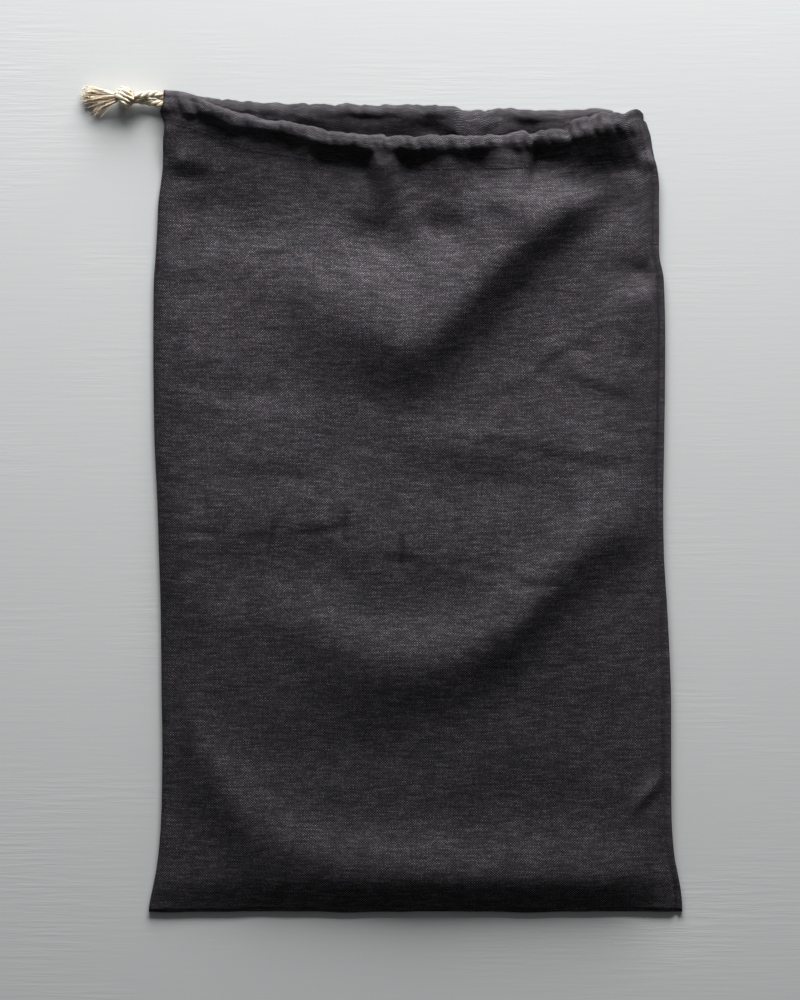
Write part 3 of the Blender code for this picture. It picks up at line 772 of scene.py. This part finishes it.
def bodyHeight(x, y):  # middle of the front cloth below its casing
    left = x - outline["sides"]["left"](y)
    right = outline["sides"]["right"](y) - x
    bottom = y - outline["bottom"]
    crown = (loft(y) * swell((np.minimum(left, right - linen["sideSeam"]) + 1.0) / linen["crownReach"])
             * swell((bottom - 1.0) / (linen["crownReach"] * 0.45)))
    bulk = sum(np.maximum(fold["height"](x), 0)
               * hill(y - fold["y"](x), np.where(y > fold["y"](x), fold["above"](x), fold["below"](x)))
               for fold in folds.values())
    edge = swell(np.minimum(left, right - linen["sideSeam"]) / 16) * swell((bottom - 1.0) / 14)
    leftRound = 1.6 * swell(left / 5.0) * ease(bottom / 20)        # plump along the left edge
    rightGroove = -1.1 * hill(right - stitches["sideInset"], 1.3)  # pulled in by the side stitches
    return (linen["seamZ"] + crown + leftRound + rightGroove
            + (bulk + fineRelief(x, y) + creaseRelief(x, y) + bumps(dents, x, y)) * edge)


def frontHeight(x, y, topY):  # middle of the outer cloth up to the top of the casing
    casing = {name: read(x) for name, read in outline["casing"].items()}
    fold = topY - linen["roll"]
    # towards both corners the step below the roll turns into a slope, longer at the right corner
    slack = np.maximum(changed("slackLeft", x), changed("slackRight", x))
    deep = changed("longSlope", x)
    foot = casing["seamY"] - 5 * slack - 3 * deep
    low = bodyHeight(x, np.minimum(y, foot))
    slant = x + 0.55 * (y - casing["ridgeY"])
    lower = casing["ridgeY"] - linen["stepDepth"] - 2.6 * gathered(slant) - 0.9 * mediumGround(x * 2.5, y)
    steep = ease((y - lower) / linen["stepReach"])
    even = np.clip((y - foot - 1) / mix(casing["ridgeY"] + 2 - foot, linen["longSlope"], deep), 0, 1)
    rise = mix(steep, mix(even, ease(even), 0.3), slack * mix(0.5, 0.68, deep))
    # some stretches fill the hollow below the roll, and the seam sinks a little
    slope = ease((y - casing["seamY"] + 30) / (casing["ridgeY"] - 3 - casing["seamY"] + 30))
    share = np.clip(slope * outline["pleat"]["share"](x + 0.1 * (y - casing["seamY"])), 0, 1)
    rise = 1 - (1 - rise) * (1 - share)
    low = low - linen["seamSink"] * hill(y - casing["seamY"] - 3, 10.0) * (1 - slack)
    # over the cord, then down to the fold and to both side seams
    height = mix(low, casing["ridgeZ"] + linen["roll"] + 0.4, rise)
    height = mix(height, casing["foldZ"] + linen["roll"],
                 ease((y - casing["ridgeY"]) / np.maximum(fold - casing["ridgeY"], 0.1)))
    left = x - outline["sides"]["left"](y)
    right = outline["sides"]["right"](y) - 3.0 - x
    corner = mix(swell((left - 1) / 12), 1.0, ease((y - 200) / 22)) * swell(right / 10)
    height = mix(linen["seamZ"], height, mix(1.0, corner, ease((y - casing["seamY"] + 3) / 9)))
    # gathers, puckers and lumps, strongest on the roll
    near = ease((y - casing["seamY"] + 26) / 22) * corner
    onRoll = ease((y - lower - 1) / 5) * corner
    puckers = (0.25 * mediumGround(x * 2.2, y * 0.35) + onRoll * (0.4 * mediumGround(x * 2.6 + 9, y * 0.6)
               + 2.3 * gathered(slant) + 1.05) + 0.4 * (1 - onRoll) * gathered(slant)
               + bumps(casingDents, x, y))
    return height + near * (gatherRelief(x, y) + puckers) + 0.22 * onRoll * fineGround(x * 1.3, y)


class Laid:  # a sheet laid line by line, with the length of cloth used up to each line
    def __init__(self, u):
        self.u, self.lines, self.along = u, [], []

    def add(self, x, y, z):
        line = np.column_stack([x, y, z])
        run = np.linalg.norm(line - self.lines[-1], axis=1) if self.lines else 0.0
        self.along.append(self.along[-1] + run if self.lines else np.zeros(len(self.u)))
        self.lines.append(line)

    def sheet(self, name, xTop, firstTurned, hem, wear=None):  # the hem is kept between its two ends
        def pastHem(row, column):
            return row >= firstTurned and not hem[0] < xTop[column] < hem[1]
        places = np.array(self.lines)
        acrossCloth = np.broadcast_to(self.u * clothWidth, places.shape[:2])
        spread = np.stack([acrossCloth, np.array(self.along)], axis=-1)
        return gridMesh(name, places, spread, pastHem, wear and wear(places[..., 0], places[..., 1]))


def frontSheet():
    rows = linen["frontRows"]
    u = 1 - np.linspace(1, 0, linen["frontColumns"]) ** 1.2
    xTop, yTop = topPoint(u, outline["frontTop"]["y"])
    scallop = ripple(xTop, linen["rollWaves"])
    yTop = yTop + scallop * 0.3
    gatheredHere = changed("gatheredLeft", xTop) * changed("gatheredRight", xTop)
    yTop = yTop + (1.7 * gathered(xTop + 2) + 0.4) * gatheredHere
    seamY = outline["casing"]["seamY"](xTop)
    foldY = yTop - linen["roll"]
    laid = Laid(u)
    for share in 1 - np.linspace(1, 0, rows["body"]) ** 1.25:
        wavy = ripple(xTop, [(90, 0.4, 1.0), (31, 0.2, 0.3)]) * (share < 0.2)
        y = mix(outline["bottom"] + wavy, seamY, share)
        x = across(u, y)
        laid.add(x, y, frontHeight(x, y, yTop))
    for share in np.linspace(0, 1, rows["casing"] + 1)[1:]:
        y = mix(seamY, foldY, share)
        x = mix(across(u, y), xTop, share)
        laid.add(x, y, frontHeight(x, y, yTop) + 0.5 * scallop * share)
    topZ = laid.lines[-1][:, 2]
    casing = {name: read(xTop) for name, read in outline["casing"].items()}
    below = np.minimum(casing["ridgeZ"], casing["foldZ"]) - linen["roll"]
    radius = np.minimum(np.maximum(linen["roll"], (topZ - below) / 2), (topZ - linen["seamZ"]) / 2)
    # at both corners the roll closes over the cord instead of turning in
    closed = np.maximum(changed("closedLeft", xTop), changed("closedRight", xTop))
    closedZ = mix(mix(7.3, 5.5, changed("closedLower", xTop)), 1.0, changed("closedFlat", xTop))
    closedZ = np.minimum(topZ - radius, closedZ)
    for step in range(1, rows["roll"] + 1):
        turn = math.pi * step / rows["roll"]
        y = foldY + linen["roll"] * math.sin(turn)
        z = topZ - radius * (1 - math.cos(turn))
        if turn > math.pi / 2:
            y = mix(y, yTop - 0.25, closed)
            z = mix(z, mix(topZ - radius, closedZ, 2 * turn / math.pi - 1), closed)
        laid.add(xTop, y, z)
    # the turned hem stays below the outer cloth
    for share in np.linspace(0, 1, rows["hem"] + 1)[1:]:
        y = mix(foldY, seamY + 0.5, share)
        x = mix(xTop, across(u, y), share)
        under = np.minimum(below, topZ - 2 * radius)
        low = frontHeight(x, y, yTop) - 1.5
        low = np.minimum(low, np.minimum(np.roll(low, 1), np.roll(low, -1)))
        laid.add(x, y, np.minimum(under, low))
    firstTurned = rows["body"] + rows["casing"] + rows["roll"] - 1
    return laid.sheet("frontLinen", xTop, firstTurned, linen["frontHem"], creaseShade)


def backSheet():
    rows = linen["backRows"]
    u = np.linspace(0, 1, linen["backColumns"])
    xTop, yTop = topPoint(u, outline["backTop"]["y"])
    scallop = ripple(xTop + 40, linen["rollWaves"])
    yTop = yTop + scallop * 0.5
    gatheredHere = changed("backGatheredLeft", xTop) * changed("backGatheredRight", xTop)
    yTop = yTop + 1.7 * gathered(xTop + 61) * gatheredHere
    foldY = yTop - linen["backRim"]
    laid = Laid(u)
    for share in np.linspace(0, 1, rows["body"]):
        y = mix(outline["bottom"], foldY, share)
        laid.add(across(u, y), y, np.full(len(u), linen["backZ"]))
    radius = linen["roll"] + 0.25 * scallop * changed("backScallops", xTop)
    radius = radius * swell((xTop[-1] - 4.0 - xTop) / 11)  # down to nothing at the right corner
    for step in range(1, rows["roll"] + 1):
        turn = math.pi * step / rows["roll"]
        y = foldY + linen["backRim"] * math.sin(turn)
        laid.add(xTop, y, linen["backZ"] + radius * (1 - math.cos(turn)))
    level = linen["backZ"] + 2 * radius * mix(0.84, 1.0, changed("backLevel", xTop))
    drop = outline["backDrop"]["share"](xTop)
    # the turned hem sinks from the rim to the back cloth
    for share in np.linspace(0, 1, rows["hem"] + 1)[1:]:
        y = mix(foldY, foldY - linen["backHemDepth"], share)
        z = mix(level, linen["backZ"] + linen["backHemEnd"], ease((share - drop) / (1 - drop)))
        uneven = bumps(hemDents, xTop, y) + 0.4 * mediumGround(xTop * 1.6, y * 0.8)
        uneven = uneven + 1.1 * gathered(xTop + 61)
        lumps = mix(1.8, 0.7, changed("backLumps", xTop)) * (smallLobes(xTop * 0.9 + 20) - 0.5)
        uneven = uneven + lumps * hill(yTop - 7.0 - y, 2.6)
        uneven = uneven * ease(share / 0.2) * ease((1 - share) / 0.3)
        laid.add(xTop, y, np.minimum(z + uneven, linen["backCeiling"]))
    return laid.sheet("backLinen", xTop, rows["body"] + rows["roll"] - 1, linen["backHem"])


weave = {"pitch": 0.00070, "warp": (0.0122, 0.0104, 0.0122, 1), "weft": (0.074, 0.067, 0.076, 1),
         "gapShade": 0.1, "lightness": 1.44, "width": clothWidth * mm, "sideLine": stitches["sideInset"] * mm}


def linenFinish(name, paintedShade):
    f = Finish(name)
    across, along = f.clothPlace()
    drift = f.noise(f.place(across * 45.0, along * 45.0), 1.0, 2.0, 0.5)
    warpAt = across / weave["pitch"] + drift * 1.8
    weftAt = along / weave["pitch"] + drift * 1.5
    warpNumber, weftNumber = f.maths("FLOOR", warpAt), f.maths("FLOOR", weftAt)
    warpWave = f.maths("SINE", warpAt * math.pi)
    weftWave = f.maths("SINE", weftAt * math.pi)
    crossing = warpWave * weftWave                        # above 0 the warp lies on top
    warpUp = f.maths("ABSOLUTE", warpWave) * (crossing * 0.5 + 0.5)
    weftUp = f.maths("ABSOLUTE", weftWave) * (0.5 - crossing * 0.5)
    height = f.maths("MAXIMUM", warpUp, weftUp)
    # each crossing catches the light a little differently
    speck = f.node("TexWhiteNoise", {"noise_dimensions": "2D"},
                   {"Vector": f.place(warpNumber, weftNumber)}, "Value")
    # thick and thin stretches along each yarn
    warpSlub = f.noise(f.place(warpNumber * 7.31, along * 60.0), 1.0, 2.0, 0.6)
    weftSlub = f.noise(f.place(across * 80.0, weftNumber * 5.77), 1.0, 2.0, 0.6)
    warpColour = f.shade(weave["warp"], f.ramp(warpSlub, 0.25, 0.75) + 0.5)
    weftColour = f.shade(weave["weft"], f.ramp(weftSlub, 0.28, 0.75) * 1.3 + 0.35)
    over = f.ramp(crossing, -0.35, 0.2)
    colour = f.blend(over, weftColour, warpColour)
    wash = f.noise(f.place(across * 14.0, along * 14.0), 1.0, 3.0, 0.6)
    cloud = f.noise(f.place(across * 110.0, along * 150.0), 1.0, 3.0, 0.55)
    # painted shade: the hollows between yarn crossings are darkened, down to a tenth at the deepest
    colour = f.shade(colour, (f.ramp(height, 0.05, 0.85) * (1 - weave["gapShade"]) + weave["gapShade"])
                     * (wash * 0.3 + 0.85) * (f.ramp(cloud, 0.25, 0.75) * 0.45 + 0.78)
                     # painted light: lighter up towards the mouth, standing for the window light falling
                     # off down the bag
                     * (f.ramp(along, 0.1, 0.34) * 0.15 + 0.945) * (speck + 0.5) * weave["lightness"])
    if paintedShade:  # painted shade along the creases and the corner seam, and beside the right edge a painted shade along the stitch line with a painted highlight outside it
        kept = f.node("Attribute", {"attribute_name": "wear"}, {}, "Fac")
        inset = weave["width"] - across
        # painted shade: a dark line along the stitch groove beside the right edge, weaker near the bottom
        # and ending before the casing
        line = f.ramp(f.maths("ABSOLUTE", inset - weave["sideLine"]), 0.0010, 0.0002)
        line = line * f.ramp(along, 0.414, 0.400) * (f.ramp(along, 0.16, 0.30) * 0.6 + 0.4)
        # painted highlight: the strip between the stitch line and the edge is made a little lighter
        seamHighlight = f.ramp(inset, weave["sideLine"] - 0.0005, weave["sideLine"] - 0.0015)
        colour = f.shade(colour, kept * (1 - line * 0.62) * (seamHighlight * 0.12 + 1.0))
    relief = height + weftSlub * 0.3 + warpSlub * 0.12 + speck * 0.25
    roughness = 1.0 - f.ramp(height * (weftSlub + 0.4) * (1.35 - over), 0.1, 0.8) * 0.52
    return f.done(colour, roughness, relief, 1.0, 0.00012, {"Specular IOR Level": 0.45})


frontLinen = addMesh("frontLinen", frontSheet(), linenFinish("charcoalLinenFront", True))
thicken(frontLinen, linen["thickness"])
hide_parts("front_panel")
print("front sewn:", len(frontLinen.data.polygons), "faces")
backLinen = addMesh("backLinen", backSheet(), linenFinish("charcoalLinenBack", False))
thicken(backLinen, linen["thickness"])
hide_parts("back_panel")
print("back sewn:", len(backLinen.data.polygons), "faces")


def sewAlong(route, plan):  # one thread after another, each dipping into the cloth at its ends
    line = smoothRoute(route, plan["step"])
    length, pitch = (round(plan[key] / plan["step"]) for key in ("long", "pitch"))
    tubes = []
    for first in range(0, len(line) - length, pitch):
        x, y = line[first:first + length + 1:plan["every"]].T
        arch = np.sin(np.linspace(0, math.pi, len(x))) ** 0.5
        z = frontHeight(x, y, outline["frontTop"]["y"](x)) + linen["thickness"] / 2 - plan["sink"] * 2
        z = z + (plan["sink"] * 2 + plan["radius"] * 0.7) * arch
        tubes.append(tubeRings(np.column_stack([x, y, z]), np.full(len(x), plan["radius"]), 5))
    return tubes


def makeStitches(plan):
    xs = np.linspace(*plan["seam"], 60)
    seam = np.column_stack([xs, outline["casing"]["seamY"](xs) + 0.6])
    ys = np.linspace(*plan["side"], 60)
    side = np.column_stack([outline["sides"]["right"](ys) - plan["sideInset"], ys])
    tubes = [tube for route in (seam, side, linen["cornerSeam"]) for tube in sewAlong(route, plan)]
    return joinTubes("frontStitches", tubes, plan["every"] * plan["step"] * mm)


def threadFinish():
    f = Finish("darkThread")
    around, along = f.clothPlace()
    twist = f.maths("SINE", (around * 2.0 + along * 1400.0) * (2 * math.pi))
    colour = f.blend(f.ramp(twist, -1.0, 1.0), (0.016, 0.0145, 0.016, 1), (0.060, 0.054, 0.061, 1))
    return f.done(colour, twist * 0.1 + 0.6, twist, 0.6, 0.00006, {"Specular IOR Level": 0.4})


frontStitches = addMesh("frontStitches", makeStitches(stitches), threadFinish())
print("stitched:", len(frontStitches.data.polygons), "faces")


# the painted board below and the light from a window past the mouth

board = {"size": 3.4, "colour": (0.533, 0.545, 0.544, 1)}


def boardFinish():
    f = Finish("palePaint")
    place = f.node("TexCoord", {}, {}, "Object")
    x, y = (f.node("SeparateXYZ", {}, {0: place}, axis) for axis in "XY")
    strokes = f.noise(f.place(x * 24.0, y * 400.0), 1.0, 3.0, 0.6)
    broad = f.noise(f.place(x * 3.0, y * 9.0), 1.0, 2.0, 0.5)
    patches = f.ramp(f.noise(f.place(x * 6.0, y * 10.0, 2.0), 1.0, 2.0, 0.6), 0.45, 0.7)
    ridges = f.ramp(strokes, 0.3, 0.75) * (patches + 0.25)
    colour = f.shade(board["colour"], ridges * 0.025 + broad * 0.03 + 0.955)
    return f.done(colour, broad * 0.1 + 0.7, ridges, 0.35, 0.00012, {"Specular IOR Level": 0.2})


def makeBoard(plan):
    slab = bmesh.new()
    bmesh.ops.create_grid(slab, x_segments=1, y_segments=1, size=plan["size"] / 2)
    mesh = bpy.data.meshes.new("paintedBoard")
    slab.to_mesh(mesh)
    slab.free()
    mesh.materials.append(boardFinish())
    table = bpy.data.objects.new("paintedBoard", mesh)
    bpy.context.collection.objects.link(table)


lights = [
    {"name": "window", "place": (0.10, 1.58, 0.60), "aim": (0.0, 0.05, 0.0), "size": (1.4, 0.9),
     "power": 70.0, "colour": (1.0, 1.0, 1.0)},
]


def makeLights(plans, sky):
    for plan in plans:
        lamp = bpy.data.lights.new(plan["name"], "AREA")
        lamp.shape = "RECTANGLE"
        lamp.size, lamp.size_y = plan["size"]
        lamp.energy = plan["power"]
        lamp.color = plan["colour"]
        made = bpy.data.objects.new(plan["name"], lamp)
        made.location = plan["place"]
        aim = Vector(plan["aim"]) - Vector(plan["place"])
        made.rotation_euler = aim.to_track_quat("-Z", "Y").to_euler()
        bpy.context.collection.objects.link(made)
    world = bpy.data.worlds.new("room")
    world.use_nodes = True
    background = world.node_tree.nodes["Background"]
    background.inputs["Color"].default_value = (*sky["colour"], 1.0)
    background.inputs["Strength"].default_value = sky["strength"]
    bpy.context.scene.world = world


makeBoard(board)
makeLights(lights, {"colour": (0.96, 0.98, 1.0), "strength": 0.12})
bpy.context.scene.view_settings.view_transform = "Standard"
bpy.context.scene.view_settings.look = "Medium High Contrast"
print("board and light placed")
